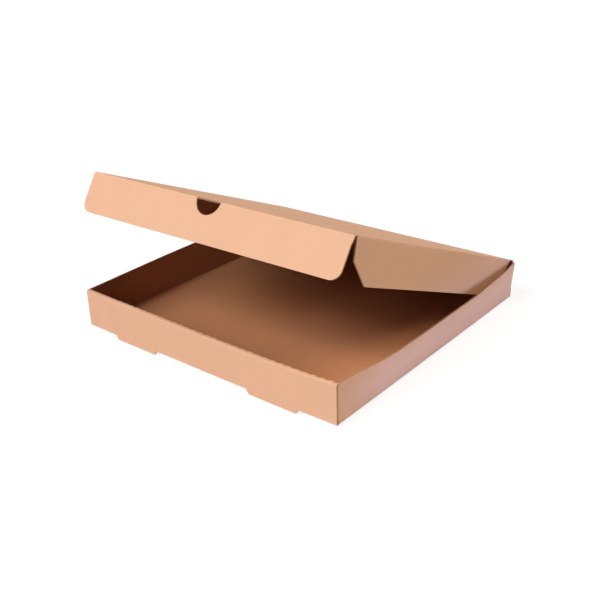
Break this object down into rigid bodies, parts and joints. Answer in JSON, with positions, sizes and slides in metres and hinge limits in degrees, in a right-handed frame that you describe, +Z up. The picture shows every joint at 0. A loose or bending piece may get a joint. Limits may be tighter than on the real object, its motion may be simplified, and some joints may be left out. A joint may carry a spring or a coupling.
{
  "type": "pizza box",
  "caption": "Shallow square pizza box in plain brown corrugated board, with a roll-over front wall and a hinged lid whose front tuck flap has a finger hole and whose side flaps tuck in.",
  "frame": {"origin": "centre of the base's underside", "axes": "+X to the right along the front wall, +Y to the rear fold, +Z up"},
  "size_m": [0.3486, 0.33, 0.1685],
  "materials": {
    "kraft_board": "matt kraft liner"
  },
  "bodies": {
    "tray": {"tray": "kraft_board"},
    "lid": {"lid": "kraft_board"},
    "front_flap": {"front_flap": "kraft_board"},
    "left_flap": {"left_flap": "kraft_board"},
    "right_flap": {"right_flap": "kraft_board"}
  },
  "joints": [
    {"name": "lid_hinge", "type": "hinge", "parent": "tray", "child": "lid", "pos_m": [0, 0.165, 0.044], "axis": [-1, 0, 0], "range_deg": [-16.8, 158.2]},
    {"name": "front_flap_fold", "type": "hinge", "parent": "lid", "child": "front_flap", "pos_m": [0, -0.13629, 0.16451], "axis": [1, 0, 0], "range_deg": [-78, 20]},
    {"name": "left_flap_fold", "type": "hinge", "parent": "lid", "child": "left_flap", "pos_m": [-0.163, 0.165, 0.044], "axis": [0, -0.9285, 0.3714], "range_deg": [0, 34]},
    {"name": "right_flap_fold", "type": "hinge", "parent": "lid", "child": "right_flap", "pos_m": [0.163, 0.165, 0.044], "axis": [0, 0.9285, -0.3714], "range_deg": [0, 34]}
  ]
}
